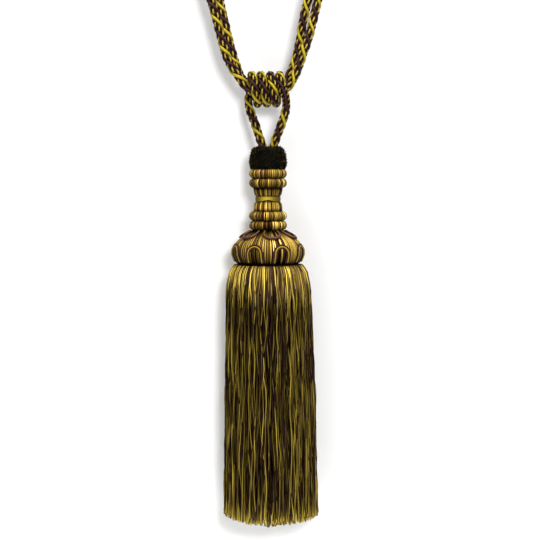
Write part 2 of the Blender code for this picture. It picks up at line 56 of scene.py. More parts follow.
# The camera looks a little down at the tassel from the front
CAMERA_AT = (1.6 * MM, -1160 * MM, -185 * MM)
CAMERA_AIM = (1.6 * MM, 0.0, -258.4 * MM)
SENSOR = 36.0
LENS = 96.7
BACKDROP = 46 * MM  # how far the wall stands behind the axis
FLOOR = -640 * MM


def aimed(name, data, place, aim):
    """A camera or lamp at a place, turned towards its aim."""
    obj = bpy.data.objects.new(name, data)
    obj.location = place
    obj.rotation_euler = (Vector(aim) - Vector(place)).to_track_quat("-Z", "Y").to_euler()
    bpy.context.scene.collection.objects.link(obj)
    return obj


def make_camera():
    data = bpy.data.cameras.new("camera")
    data.sensor_width = SENSOR
    data.lens = LENS
    bpy.context.scene.camera = aimed("camera", data, CAMERA_AT, CAMERA_AIM)


# Materials

SATIN_YELLOW = (0.430, 0.325, 0.022)
AUBERGINE = (0.038, 0.016, 0.018)
YARN_GOLD = (0.310, 0.180, 0.026)
YARN_BRIGHT = (0.640, 0.440, 0.080)
YARN_DARK = (0.008, 0.005, 0.004)
WINE_DYE = (0.125, 0.040, 0.034)
WINE_CORD = (0.045, 0.016, 0.016)
OLIVE_DYE = (0.150, 0.088, 0.013)
SILK_GOLD = (0.400, 0.232, 0.032)
SILK_BRIGHT = (0.840, 0.590, 0.110)
PILE_DARK = (0.0115, 0.0105, 0.0080)
STRAND_DARK = (0.013, 0.008, 0.007)
STRAND_WINE = (0.060, 0.028, 0.022)
STRAND_OLIVE = (0.110, 0.070, 0.016)
STRAND_GOLD = (0.350, 0.240, 0.040)
STRAND_BRIGHT = (0.800, 0.585, 0.080)
RIBBON_DYE = (0.500, 0.345, 0.034)
ROSE_DYE = (0.150, 0.066, 0.042)
HIGHLIGHT = 2.4  # a highlight's tint, as a multiple of the dye

GOLD, OLIVE, WINE, DARK = 0.85, 0.62, 0.45, 0.2  # tones of the yarns

DYE_PATCHES = 900.0  # scale and detail of the dye's noise
DYE_DETAIL = 3.0
RIDGE_TONE = 0.12  # how much lighter a ridge is than a valley, in tone
RIDGE_BUMP = 0.35
RIDGE_DEPTH = 0.05 * MM
MIX_A, MIX_B, MIX_RESULT = 6, 7, 2  # the colour sockets of a mix node
VALUES = ("along", "round", "tone", "shade")  # what the yarn materials read of each point


def link(tree, source, target):
    tree.links.new(source, target)


def attribute(tree, name):
    node = tree.nodes.new("ShaderNodeAttribute")
    node.attribute_name = name
    return node.outputs["Fac"]


def ramp(tree, stops, factor):
    """A colour ramp with (position, colour) stops."""
    node = tree.nodes.new("ShaderNodeValToRGB")
    elements = node.color_ramp.elements
    while len(elements) < len(stops):
        elements.new(0.5)
    for element, (position, colour) in zip(elements, stops):
        element.position = position
        element.color = (*colour, 1.0)
    link(tree, factor, node.inputs["Fac"])
    return node.outputs["Color"]


def maths(tree, operation, *values):
    node = tree.nodes.new("ShaderNodeMath")
    node.operation = operation
    for socket, value in zip(node.inputs, values):
        if isinstance(value, (int, float)):
            socket.default_value = value
        else:
            link(tree, value, socket)
    return node.outputs["Value"]


def multiplied(tree, colour):
    """A node that multiplies a colour by its second colour."""
    node = tree.nodes.new("ShaderNodeMix")
    node.data_type = "RGBA"
    node.blend_type = "MULTIPLY"
    node.inputs["Factor"].default_value = 1.0
    link(tree, colour, node.inputs[MIX_A])
    return node


def shiny(name, roughness, gloss):
    """A new material, and the inputs of its shader."""
    material = bpy.data.materials.new(name)
    material.use_nodes = True
    shader = material.node_tree.nodes["Principled BSDF"].inputs
    shader["Roughness"].default_value = roughness
    shader["Specular IOR Level"].default_value = gloss
    return material, shader


def yarn_material(name, stops, roughness, twist, fleck=0.25, gloss=0.5, cut=0.25):
    """Yarn coloured by its own tone, with fine thread ridges that run round it and uneven dye.

    The mesh gives along (metres down the yarn), round (turns about it), tone, and shade, the painted
    light and shade that lightens lit parts and darkens the gaps. Twist is the number of thread ridges
    in a millimetre, and cut how much painted shade darkens their valleys. The highlights take the
    dye's colour and fade with the painted shade in the gaps.
    """
    material, shader = shiny(name, roughness, gloss)
    tree = material.node_tree
    along, round_it, tone, shade = (attribute(tree, value) for value in VALUES)
    phase = maths(tree, "MULTIPLY", along, TAU * twist / MM)
    phase = maths(tree, "ADD", phase, maths(tree, "MULTIPLY", round_it, TAU))
    ridge = maths(tree, "SINE", phase)
    ridge = maths(tree, "MULTIPLY_ADD", ridge, 0.5, 0.5)
    shade = maths(tree, "MULTIPLY", shade, maths(tree, "MULTIPLY_ADD", ridge, cut, 1.0 - cut))
    link(tree, maths(tree, "MULTIPLY", shade, gloss), shader["Specular IOR Level"])

    noise = tree.nodes.new("ShaderNodeTexNoise")
    noise.inputs["Scale"].default_value = DYE_PATCHES
    noise.inputs["Detail"].default_value = DYE_DETAIL
    uneven = maths(tree, "MULTIPLY_ADD", noise.outputs["Fac"], 2 * fleck, -fleck)
    ridged = maths(tree, "MULTIPLY_ADD", ridge, RIDGE_TONE, -RIDGE_TONE / 2)
    colour = ramp(tree, stops, maths(tree, "ADD", maths(tree, "ADD", tone, uneven), ridged))

    shaded = multiplied(tree, colour)
    link(tree, shade, shaded.inputs[MIX_B])
    link(tree, shaded.outputs[MIX_RESULT], shader["Base Color"])
    tint = multiplied(tree, colour)
    tint.clamp_result = True
    tint.inputs[MIX_B].default_value = (HIGHLIGHT, HIGHLIGHT, HIGHLIGHT, 1.0)
    link(tree, tint.outputs[MIX_RESULT], shader["Specular Tint"])

    bump = tree.nodes.new("ShaderNodeBump")
    bump.inputs["Strength"].default_value = RIDGE_BUMP
    bump.inputs["Distance"].default_value = RIDGE_DEPTH
    link(tree, ridge, bump.inputs["Height"])
    link(tree, bump.outputs["Normal"], shader["Normal"])
    return material


PLY = yarn_material(
    "two_tone_ply", ((0.2, YARN_DARK), (0.45, AUBERGINE), (0.62, YARN_GOLD), (1.0, YARN_BRIGHT)),
    roughness=0.5, twist=0.6, fleck=0.8, gloss=0.35, cut=0.5,
)
# The cords' gimps: tone 0 is the yellow one and tone 1 the aubergine one
SATIN = yarn_material(
    "satin_gimp", ((0.0, SATIN_YELLOW), (0.45, SATIN_YELLOW), (0.55, AUBERGINE), (1.0, AUBERGINE)),
    roughness=0.28, twist=2.4, fleck=0.05, gloss=0.9,
)
SILK = yarn_material(
    "wound_silk",
    ((0.2, YARN_DARK), (0.45, WINE_DYE), (0.64, OLIVE_DYE), (0.82, SILK_GOLD), (1.0, SILK_BRIGHT)),
    roughness=0.36, twist=1.4, fleck=0.06,
)
RIBBON = yarn_material(
    "ribbon_satin", ((0.0, RIBBON_DYE), (1.0, RIBBON_DYE)), roughness=0.3, twist=1.0, fleck=0.02,
)
GIMP = yarn_material(
    "gimp",
    ((0.2, YARN_DARK), (0.45, WINE_CORD), (0.64, ROSE_DYE), (0.82, SILK_GOLD), (1.0, SATIN_YELLOW)),
    roughness=0.4, twist=2.0, fleck=0.06,
)
PILE = yarn_material(
    "cut_pile", ((0.2, PILE_DARK), (0.5, PILE_DARK), (0.7, OLIVE_DYE), (1.0, SILK_GOLD)),
    roughness=0.9, twist=1.0, fleck=0.05, gloss=0.05,
)
velvet = PILE.node_tree.nodes["Principled BSDF"].inputs
velvet["Sheen Weight"].default_value = 0.16
velvet["Sheen Roughness"].default_value = 0.25
velvet["Sheen Tint"].default_value = (0.42, 0.36, 0.20, 1.0)
STRAND = yarn_material(
    "cut_strand",
    (
        (0.2, STRAND_DARK), (0.45, STRAND_WINE), (0.6, STRAND_OLIVE), (0.8, STRAND_GOLD),
        (1.0, STRAND_BRIGHT),
    ),
    roughness=0.45, twist=1.3, fleck=0.12, gloss=0.4,
)


# Building meshes out of many tubes and skins

def ring_quads(rows, columns):
    """Quads that join each ring of points to the next one."""
    start = np.arange(rows - 1)[:, None] * columns
    here = start + np.arange(columns)[None]
    there = start + (np.arange(columns)[None] + 1) % columns
    return np.stack([here, here + columns, there + columns, there], 2).reshape(-1, 4)


def table_at(places, table):
    """Values at places from a table of (place, value) rows, in straight lines between them."""
    return np.interp(places, *zip(*table))


class Yarns:
    """Gathers tubes and skins into one mesh, with the values of each point."""

    def __init__(self):
        self.points, self.faces = [], []
        self.values = {name: [] for name in VALUES}
        self.count = 0

    def add(self, points, faces, along, round_it, tone, shade):
        """Add points, with faces that count from the first of them."""
        number = len(points)
        self.points.append(points)
        for loop in faces:
            self.faces.append(loop + self.count)
        for name, value in zip(self.values, (along, round_it, tone, shade)):
            self.values[name].append(np.broadcast_to(value, number).astype(np.float32))
        self.count += number

    def tube(self, line, out, radius, sides, tone, shade=1.0, flat=1.0, painted_side_light=1.0):
        """A closed tube along a line. Out gives a direction to start each section from, flat squeezes
        the section along it, and painted_side_light is how much light the tube's sides keep, as
        painted shade on the sides that face away from out."""
        line = np.asarray(line, float)
        tangent = unit(np.gradient(line, axis=0))
        out = unit(out - (out * tangent).sum(1, keepdims=True) * tangent)
        side = np.cross(tangent, out)
        angle = TAU * (np.arange(sides) / sides)
        radius = np.broadcast_to(radius, len(line))[:, None, None]
        ring = flat * np.cos(angle)[None, :, None] * out[:, None]
        ring = ring + np.sin(angle)[None, :, None] * side[:, None]
        points = (line[:, None] + radius * ring).reshape(-1, 3)
        quads = ring_quads(len(line), sides)[:, (0, 3, 2, 1)]
        ends = [np.arange(sides)[::-1][None], (len(line) - 1) * sides + np.arange(sides)[None]]
        along = np.repeat(lengths(line), sides)
        turns = np.tile(np.arange(sides) / sides, len(line))
        tone = np.repeat(np.broadcast_to(tone, len(line)), sides)
        # Painted shade on the sides of the tube that face away from out
        lit = painted_side_light + (1.0 - painted_side_light) * np.clip(np.cos(angle), 0.0, 1.0)
        shade = (np.broadcast_to(shade, len(line))[:, None] * lit).reshape(-1)
        self.add(points, [quads, *ends], along, turns, tone, shade)

    def mesh(self, name):
        points = np.concatenate(self.points)
        loops = np.concatenate([faces.reshape(-1) for faces in self.faces])
        sizes = np.concatenate([np.full(len(faces), faces.shape[1]) for faces in self.faces])
        mesh = bpy.data.meshes.new(name)
        mesh.vertices.add(len(points))
        mesh.vertices.foreach_set("co", points.astype(np.float32).reshape(-1))
        mesh.loops.add(len(loops))
        mesh.loops.foreach_set("vertex_index", loops.astype(np.int32))
        mesh.polygons.add(len(sizes))
        starts = np.concatenate([[0], np.cumsum(sizes)[:-1]]).astype(np.int32)
        mesh.polygons.foreach_set("loop_start", starts)
        mesh.polygons.foreach_set("use_smooth", np.ones(len(sizes), bool))
        mesh.update(calc_edges=True)
        mesh.validate()
        for key, value in self.values.items():
            made = mesh.attributes.new(key, "FLOAT", "POINT")
            made.data.foreach_set("value", np.concatenate(value))
        return mesh


def unit(vectors):
    return vectors / np.maximum(np.linalg.norm(vectors, axis=-1, keepdims=True), 1e-12)


def lengths(line):
    """Distance of each point from the line's start."""
    steps = np.linalg.norm(np.diff(line, axis=0), axis=1)
    return np.concatenate([[0.0], np.cumsum(steps)])


def piece(yarns, name, material, slot, *nodes):
    """Make a piece of the object from gathered tubes, riding on the body in place of CAD nodes."""
    obj = bpy.data.objects.new(name, yarns.mesh(name))
    obj.data.materials.append(material)
    bpy.context.scene.collection.objects.link(obj)
    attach(obj, BODY)
    if nodes:
        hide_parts(*nodes)
    return obj


# The cords' routes, as in the part

CORD_RADIUS = 3.6 * MM
WRAP_RADIUS = 3.35 * MM  # where it is drawn tight round the knot
CORD_LAY = 25 * MM  # one turn of the twist
KNOT_DROP = 114.4 * MM  # how far the knot's centre is below the origin
KNOT = Vector((0.0, 0.0, -KNOT_DROP))
KNOT_TURNS = 4
KNOT_PITCH = 7.3 * MM
KNOT_COIL = 11.5 * MM  # radius of the coil
KNOT_FIRST_TOP = -12.9 * MM  # x where the coil first crosses over the top
KNOT_SLANT = 0.6 * MM
KNOT_STEPS = 8  # points in a turn
PAIR = 3.8 * MM  # half the distance between the embrace cord's two runs inside the knot
KNOT_ROLL = 28.0  # and the pair's roll there, in degrees
EYE_HALF = 11.4 * MM
EYE_ANGLES = (30, 60, 90, 120, 150)
END_GAP = 0.3 * MM  # between the embrace cord's ends and the knot's centre
CURVE_PIECES = 12  # from one point of a smooth curve to the next
# x and height above the knot of the pair's middle, roll of the pair in degrees, and half the
# distance between its two cords; lengths in millimetres
LEFT_ARM = (
    (-6.5, 0.0, 34, 3.8), (-12.4, 0.5, 54, 3.8), (-16.9, 3.0, 74, 3.8),
    (-20.9, 7.6, 80, 3.8), (-24.0, 12.6, 72, 3.8), (-26.9, 18.2, 60, 3.8),
    (-30.2, 26.2, 48, 3.8), (-33.3, 36.8, 45, 3.8), (-36.3, 48.8, 44, 3.9),
    (-39.4, 61.2, 40, 3.9), (-42.2, 72.4, 25, 3.9), (-44.6, 81.8, 0, 4.2),
    (-47.0, 91.2, 0, 6.6), (-49.4, 100.6, 0, 9.8), (-51.5, 108.8, 0, 11.4),
)
RIGHT_ARM = (
    (5.5, 0.0, 30, 3.8), (10.6, 1.0, 44, 3.8), (14.8, 3.9, 54, 3.8),
    (18.0, 8.7, 57, 3.8), (20.6, 14.0, 57, 3.8), (23.0, 20.0, 57, 3.8),
    (25.2, 27.2, 55, 3.8), (27.8, 36.2, 42, 3.8), (30.0, 45.8, 24, 3.9),
    (32.6, 57.8, 8, 3.9), (36.0, 72.0, 0, 3.9), (38.2, 81.8, 0, 4.2),
    (40.4, 91.2, 0, 6.6), (42.5, 100.4, 0, 9.8), (44.4, 108.8, 0, 11.4),
)
# Turns of the twist along each cord, from where its gimps cross the front in the photo:
# millimetres along the cord, and turns
EMBRACE_TWIST = (
    (15.5, 0.24), (28.0, -0.26), (39.5, -0.77), (51.0, -1.27), (65.0, -1.77), (75.6, -2.27),
    (198.5, -7.27), (208.0, -7.76), (220.3, -8.26), (231.0, -8.77),
    (241.7, -9.27), (253.2, -9.77), (263.5, -10.27),
    (317.5, -12.27), (330.0, -12.77), (341.0, -13.27),
    (353.0, -13.77), (366.0, -14.27), (377.5, -14.77),
    (505.5, -20.27), (516.0, -20.77), (526.2, -21.27),
    (538.0, -21.77), (549.0, -22.27), (557.5, -22.72),
)
HANGING_TWIST = (
    (10.5, 0.25), (22.3, -0.25), (35.0, -0.76), (47.2, -1.25),
    (93.2, -3.17), (104.3, -3.67),
    (166.8, -6.06), (179.7, -6.56),
    (238.8, -9.45), (251.5, -9.96),
    (311.0, -12.86), (327.5, -12.84), (337.0, -13.33), (350.0, -13.83), (362.7, -14.33),
)
# x, y and height from the knot's centre, in millimetres
LEFT_LEG = (
    (-4.0, 0.0, -56.2), (-4.0, 0.0, -49.2), (-4.7, 0.4, -44.2),
    (-7.3, 1.8, -36.6), (-9.9, 3.6, -28.6), (-12.6, 6.0, -21.2),
    (-14.9, 8.4, -14.6), (-15.8, 10.6, -7.4),
)
RIGHT_LEG = (
    (13.3, -11.4, -4.4), (14.4, -10.4, -10.4), (14.1, -8.6, -16.6),
    (12.2, -6.0, -23.8), (9.6, -3.6, -30.8), (6.9, -1.6, -37.8),
    (4.7, -0.4, -44.2), (4.0, 0.0, -49.2), (4.0, 0.0, -56.2),
)


def arm_cords(rows, side):
    """The outer and the inner cord of an arm, from the knot to where the eye closes."""
    middles = [Vector((x * MM, 0.0, z * MM - KNOT_DROP)) for x, z, _, _ in rows]
    outer, inner = [], []
    for i, (_, _, roll, half) in enumerate(rows):
        along = middles[min(i + 1, len(rows) - 1)] - middles[max(i - 1, 0)]
        along.normalize()
        away = Vector((side * along.z, 0.0, -side * along.x))
        turn = math.radians(roll)
        aside = away * math.cos(turn) + Vector((0.0, -1.0, 0.0)) * math.sin(turn)
        outer.append(middles[i] + aside * half * MM)
        inner.append(middles[i] - aside * half * MM)
    return outer, inner


def eye_bow(outer, inner):
    """The round top of an eye, from the end of its outer cord over to its inner one's."""
    middle = (outer[-1] + inner[-1]) / 2
    before = (outer[-2] + inner[-2]) / 2
    across = (outer[-1] - inner[-1]).normalized()
    up = (middle - before).normalized()
    turns = [math.radians(angle) for angle in EYE_ANGLES]
    return [middle + EYE_HALF * (across * math.cos(t) + up * math.sin(t)) for t in turns]


def embrace_route():
    """One cord down both arms and round both eyes; its two ends meet inside the knot."""
    left_outer, left_inner = arm_cords(LEFT_ARM, -1)
    right_outer, right_inner = arm_cords(RIGHT_ARM, 1)
    end_gap = Vector((END_GAP, 0.0, 0.0))
    turn = math.radians(KNOT_ROLL)
    aside = PAIR * Vector((0.0, math.sin(turn), math.cos(turn)))
    upper, lower = KNOT + aside, KNOT - aside
    return [
        upper + end_gap,
        *right_inner,
        *reversed(eye_bow(right_outer, right_inner)),
        *reversed(right_outer),
        lower,
        *left_outer,
        *eye_bow(left_outer, left_inner),
        *reversed(left_inner),
        upper - end_gap,
    ]


def coil_point(turns):
    """A point of the knot's coil, this many turns after it first crosses over the top."""
    angle = TAU * turns
    x = KNOT_FIRST_TOP + KNOT_SLANT * (1 - math.cos(angle)) + KNOT_PITCH * turns
    y = -KNOT_COIL * math.sin(angle)
    z = KNOT_COIL * math.cos(angle) - KNOT_DROP
    return Vector((x, y, z))


def hanging_route():
    """Up the left leg, round the coil from its back to its front, and down the right leg."""
    left, right = ([KNOT + Vector(point) * MM for point in leg] for leg in (LEFT_LEG, RIGHT_LEG))
    from_back, to_front = -0.25, KNOT_TURNS - 0.75
    count = round((to_front - from_back) * KNOT_STEPS)
    coil = [coil_point(from_back + k / KNOT_STEPS) for k in range(count + 1)]
    return [*left, *coil, *right]


def smooth(points):
    """A Catmull-Rom curve through the points, as closely spaced points."""
    ends = [2 * points[0] - points[1], *points, 2 * points[-1] - points[-2]]
    line = []
    for a, b, c, d in zip(ends, ends[1:], ends[2:], ends[3:]):
        for k in range(CURVE_PIECES):
            t = k / CURVE_PIECES
            line.append(
                0.5 * (2 * b + (c - a) * t + (2 * a - 5 * b + 4 * c - d) * t**2
                       + (3 * b - a - 3 * c + d) * t**3)
            )
    return np.array([*line, points[-1]], float)


def in_steps(line, count):
    """The line again, with this many points at even distances."""
    along = lengths(line)
    places = np.linspace(0.0, along[-1], count)
    return np.stack([np.interp(places, along, column) for column in line.T], 1)


def spaced(line, step):
    """The line again, with its points a step apart."""
    return in_steps(line, max(2, round(lengths(line)[-1] / step) + 1))


def carried(line, first):
    """A direction carried along a line without turning about it."""
    tangent = unit(np.gradient(line, axis=0))
    found = [first]
    for t in tangent[1:]:
        last = found[-1]
        last = last - t * last.dot(t)
        found.append(last / np.linalg.norm(last))
    return tangent, np.array(found)


# A cord: two plies of coarse yarn, with a yellow and an aubergine satin gimp laid between them

PLY_OFFSET = 0.45  # as shares of the cord's radius
GIMP_OFFSET = 0.70
GIMP_RADIUS = 0.34
YARN_LAY = 7.4 * MM
YARN_LEAD = 0.13  # turns by which the second ply's yarns lead
YARN_PAINTED_LIGHT = 1.35  # painted light on a yarn where it stands out of its ply, and painted shade where it sinks in
YARN_SHADES = (0.05, 1.2)  # the least and the most light on it
# Painted shade: share of the light that a cord's yarns and gimps keep on their sunken sides
CORD_PAINTED_SIDE_LIGHT = 0.3
# A ply's yarns: offset and radius as shares of the cord's radius, and tone
PLY_YARNS = ((0.35, 0.205, 0.86), (0.31, 0.230, 0.22), (0.35, 0.205, 0.78), (0.31, 0.230, 0.22))
YARN_STEP = 0.55 * MM
YARN_SIDES = 6
GIMP_SIDES = 10


def turns_at(along, rows):
    """The turns of a cord's twist at distances along it, from rows of distance and turns."""
    places = along / MM
    before = np.clip(rows[0][0] - places, 0, None) * MM / CORD_LAY
    after = np.clip(places - rows[-1][0], 0, None) * MM / CORD_LAY
    return table_at(places, rows) + before - after


def lay_cord(line, radius, twist):
    """The yarns and gimps of a cord along a line, as two gatherings: coarse and satin."""
    tangent, normal = carried(line, np.array((0.0, -1.0, 0.0)))
    side = np.cross(tangent, normal)
    along = lengths(line)
    turn = TAU * turns_at(along, twist)
    coarse, satin = Yarns(), Yarns()
    radius = np.broadcast_to(radius, len(line))[:, None]

    def outward(half_turns):
        angle = (turn + math.pi * half_turns)[:, None]
        return np.cos(angle) * normal + np.sin(angle) * side

    for ply in range(2):
        out = outward(ply)
        centre = line + PLY_OFFSET * radius * out
        across = np.cross(unit(np.gradient(centre, axis=0)), out)
        for k, (offset, thick, tone) in enumerate(PLY_YARNS):
            twisted = TAU * (along / YARN_LAY + k / len(PLY_YARNS) + YARN_LEAD * ply)
            aside = np.cos(twisted)[:, None] * out + np.sin(twisted)[:, None] * across
            yarn = centre + offset * radius * aside
            # Painted light and shade on the yarn, by how far it stands out of its ply
            shade = np.clip(YARN_PAINTED_LIGHT * np.cos(twisted), *YARN_SHADES)
            thickness = thick * radius[:, 0]
            coarse.tube(yarn, aside, thickness, YARN_SIDES, tone, shade, painted_side_light=CORD_PAINTED_SIDE_LIGHT)
    for k in range(2):
        out = outward(k + 0.5)
        gimp = line + GIMP_OFFSET * radius * out
        thick = GIMP_RADIUS * radius[::2, 0]
        satin.tube(gimp[::2], out[::2], thick, GIMP_SIDES, float(k), painted_side_light=CORD_PAINTED_SIDE_LIGHT)
    return coarse, satin


def make_cord(name, route, radius_at, twist):
    line = spaced(smooth(route), YARN_STEP)
    radius = np.array([radius_at(point) for point in line])
    coarse, satin = lay_cord(line, radius, twist)
    plies = piece(coarse, f"{name}_plies", PLY, "two_tone_cord", name)
    gimps = piece(satin, f"{name}_gimps", SATIN, "two_tone_cord")


def hanging_radius(point):
    below = -KNOT_DROP - point[2] - KNOT_COIL
    share = min(max(below / (2 * CORD_RADIUS), 0.0), 1.0)
    return WRAP_RADIUS + (CORD_RADIUS - WRAP_RADIUS) * share


def make_cords():
    make_cord("embrace_cord", embrace_route(), lambda _: CORD_RADIUS, EMBRACE_TWIST)
    make_cord("hanging_cord", hanging_route(), hanging_radius, HANGING_TWIST)


# The head's sizes and outlines, as in the part

# Radius in millimetres, and share of the height from the top
SPOOL_OUTLINE = (
    (11.6, 0.00), (11.3, 0.14), (10.3, 0.32), (9.2, 0.36), (9.2, 0.59), (10.4, 0.63), (11.3, 0.78),
    (11.4, 1.00),
)
BULB_WIDTH = 56.6 * MM
BULB_HEIGHT = 25.6 * MM
# Radius as a share of half the width, and share of the height from the top
BULB_OUTLINE = (
    (0.42, 0.00), (0.54, 0.09), (0.65, 0.16), (0.77, 0.25), (0.88, 0.36), (0.95, 0.46),
    (1.00, 0.60), (1.00, 0.75), (0.955, 0.88), (0.91, 1.00),
)
COLLAR_OUTLINE = (
    (0.30, 0.00), (0.60, 0.00), (0.74, 0.06), (0.85, 0.16), (0.94, 0.34), (1.00, 0.58),
    (0.985, 0.84), (0.93, 0.98), (0.90, 1.00),
)
PETALS = 6
PETAL_FIRST = 10.0  # bearing of the first one, in degrees from the front
PETAL_HALF_ANGLE = 27.0
PETAL_ROOT = 13.6 * MM  # distances of its feet and its tip from the axis
PETAL_TIP = 22.0 * MM
ARCHES = 8
ARCH_FIRST = 23.0
ARCH_HALF_WIDTH = 6.1 * MM
# Shares of the bulb's height: an arch's feet, its crown, and its spring, where its legs end
ARCH_FOOT = 0.96
ARCH_CROWN = 0.47
ARCH_SPRING = ARCH_CROWN + ARCH_HALF_WIDTH / BULB_HEIGHT

THREAD_SIDES = 8  # of the ribbon's threads and the loops' gimps
SEEDS = {
    "ring_1": 1, "ring_2": 2, "ring_3": 3, "ring_4": 4, "spool": 5, "bulb": 6, "collar": 8,
    "skirt": 9, "locks": 21,
}


def chance_of(name, number=0):
    return np.random.default_rng(SEEDS[name] + number)


def bell(places, middle, width):
    """A bell curve, 1 at its middle."""
    return np.exp(-(((places - middle) / width) ** 2))


def about(angle, radius, height):
    """Points about the axis, by the angle from the viewer's side towards +X."""
    parts = (radius * np.sin(angle), -radius * np.cos(angle), height)
    return np.stack(np.broadcast_arrays(*parts), -1)


def fine(outline, rows):
    """A turned outline of (radius, z) points, smoothed and cut into rows of even length."""
    flat = [Vector((radius, 0.0, height)) for radius, height in outline]
    return in_steps(smooth(flat)[:, ::2], rows)


def outwards(profile):
    """The outward direction at each row of a profile that runs down the outside."""
    ahead = unit(np.gradient(profile, axis=0))
    return np.stack([-ahead[:, 1], ahead[:, 0]], 1)


STRAY_WINE = 0.17  # share of the threads that are wine inside a bundle
THREAD_LIGHT = (0.4, 1.65)  # the least and the most light on a thread
THREAD_RELIEF = (0.6, 1.2)  # and how much it stands out
WINE_LIGHT, GOLD_LIGHT = 0.55, 1.35
# Across a thread: place, height and light
THREAD_SECTION = ((0.0, 0.0, 0.2), (0.25, 0.8, 0.75), (0.5, 1.0, 1.0), (0.75, 0.8, 0.75))


class Bundles:
    """Threads side by side in bundles of uneven size, most with a wine thread at the edge."""

    def __init__(self, threads, least, most, wine, chance):
        sizes = []
        while sum(sizes) < threads:
            sizes.append(min(int(chance.integers(least, most + 1)), threads - sum(sizes)))
        self.threads = threads
        self.number = np.repeat(np.arange(len(sizes)), sizes)
        self.size = np.repeat(sizes, sizes)
        self.place = np.arange(threads) - np.repeat(np.cumsum(sizes) - sizes, sizes)
        self.tone = self.each(0.70, 1.0, chance) + chance.uniform(-0.06, 0.06, threads)
        edge = (self.place == self.size - 1) & (chance.uniform(0, 1, threads) < wine)
        self.tone[edge | (chance.uniform(0, 1, threads) < STRAY_WINE)] = WINE
        self.light = chance.uniform(*THREAD_LIGHT, threads)

    def each(self, low, high, chance):
        """A random value for each bundle, given to its threads."""
        return chance.uniform(low, high, self.number[-1] + 1)[self.number]


def wound(profile, bundles, relief, bulge, shade, chance):
    """A skin of fine threads that run down a turned outline, each a ridge on a bundle's bulge.

    Shade has a value for each row of the outline and each thread.
    """
    threads = bundles.threads
    share, rise, groove_shade = np.array(THREAD_SECTION).T
    edge = np.arange(threads + 1) + np.append(chance.uniform(-0.2, 0.2, threads), 0.0)
    edge[-1] = threads + edge[0]
    place = (edge[:-1, None] + share * np.diff(edge)[:, None]).reshape(-1)
    swell = (bundles.place[:, None] + share) / bundles.size[:, None]
    swell = np.sin(math.pi * swell).reshape(-1)
    height = np.tile(rise, threads) * relief
    height = height * np.repeat(chance.uniform(*THREAD_RELIEF, threads), len(share))
    height = height + bulge * swell**0.6
    out = outwards(profile)
    radius = profile[:, :1] + out[:, :1] * height
    level = profile[:, 1:] + out[:, 1:] * height
    points = about(TAU * place / threads, radius, level)
    rows, columns = radius.shape
    tone = np.repeat(bundles.tone, len(share))
    # Painted shade in each thread's groove, and deeper at the edges of its bundle
    groove_shade = np.tile(groove_shade, threads) * (0.35 + 0.7 * swell)
    light = np.repeat(bundles.light, len(share))
    light = light * np.where(tone == WINE, WINE_LIGHT, GOLD_LIGHT)
    shades = np.repeat(shade, len(share), axis=1) * groove_shade * light
    yarns = Yarns()
    yarns.add(
        points.reshape(-1, 3), [ring_quads(rows, columns)], np.repeat(lengths(profile), columns),
        np.tile(place % 1, rows), np.tile(tone, rows), shades.reshape(-1),
    )
    return yarns


class Winding(NamedTuple):
    threads: int
    least: int  # threads in a bundle
    most: int
    wine: float  # share of the bundles with a wine thread at the edge
    dimmest: float  # light on a bundle
    brightest: float
    inset: float  # millimetres that the skin lies inside the solid's outline
    relief: float  # and that a thread stands out
    bulge: float  # and a bundle


RING_WINDING = Winding(150, 2, 3, 0.9, 0.35, 1.65, 0.25, 0.14, 0.2)
SPOOL_WINDING = Winding(120, 1, 3, 0.5, 0.6, 1.4, 0.1, 0.1, 0.12)
BULB_WINDING = Winding(250, 2, 3, 0.85, 0.5, 1.55, 0.25, 0.14, 0.26)


def wind(node, profile, light, winding, painted_shade=1.0):
    """Wind a node with silk, with painted light for each row and painted shade over rows and threads.
    """
    chance = chance_of(node)
    bundles = Bundles(winding.threads, winding.least, winding.most, winding.wine, chance)
    shade = light[:, None] * bundles.each(winding.dimmest, winding.brightest, chance)[None] * painted_shade
    yarns = wound(profile, bundles, winding.relief * MM, winding.bulge * MM, shade, chance)
    piece(yarns, f"{node}_threads", SILK, "wound_yarn", node)


RINGS = 4
RING_ROWS = 15  # of points round a ring's outside
RING_CORE = 7 * MM  # how far in its skin goes
# Light on the rings' threads, by row from the core round to the core
RING_LIGHT = (
    (0, 0.02), (2, 0.15), (4, 1.1), (6, 1.2), (9, 0.7), (12, 0.25), (13, 0.08), (16, 0.02),
)
SPOOL_ROWS = 22
# Light on the spool's threads, by share of its height from the top
SPOOL_LIGHT = (
    (0.0, 0.03), (0.06, 0.08), (0.12, 0.5), (0.3, 0.6), (0.36, 0.15), (0.6, 0.2), (0.66, 1.1),
    (0.85, 1.3), (0.95, 0.3), (1.0, 0.05),
)


def make_rings():
    for number in range(1, RINGS + 1):
        low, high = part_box(f"ring_{number}")
        half, height = (high.x - low.x) / 2, high.z - low.z
        turn = np.linspace(0.0, math.pi, RING_ROWS)
        radius = half - RING_WINDING.inset * MM - height / 2 * (1 - np.sin(turn))
        rim = np.stack([radius, high.z - height / 2 * (1 - np.cos(turn))], 1)
        profile = np.concatenate([[(RING_CORE, high.z)], rim, [(RING_CORE, low.z)]])
        light = table_at(np.arange(len(profile)), RING_LIGHT)
        wind(f"ring_{number}", profile, light, RING_WINDING)


def make_spool():
    low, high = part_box("spool")
    height = high.z - low.z
    outline = [(radius * MM, high.z - height * share) for radius, share in SPOOL_OUTLINE]
    profile = fine(outline, SPOOL_ROWS)
    share = (high.z - profile[:, 1]) / height
    profile[:, 0] -= SPOOL_WINDING.inset * MM
    wind("spool", profile, table_at(share, SPOOL_LIGHT), SPOOL_WINDING)


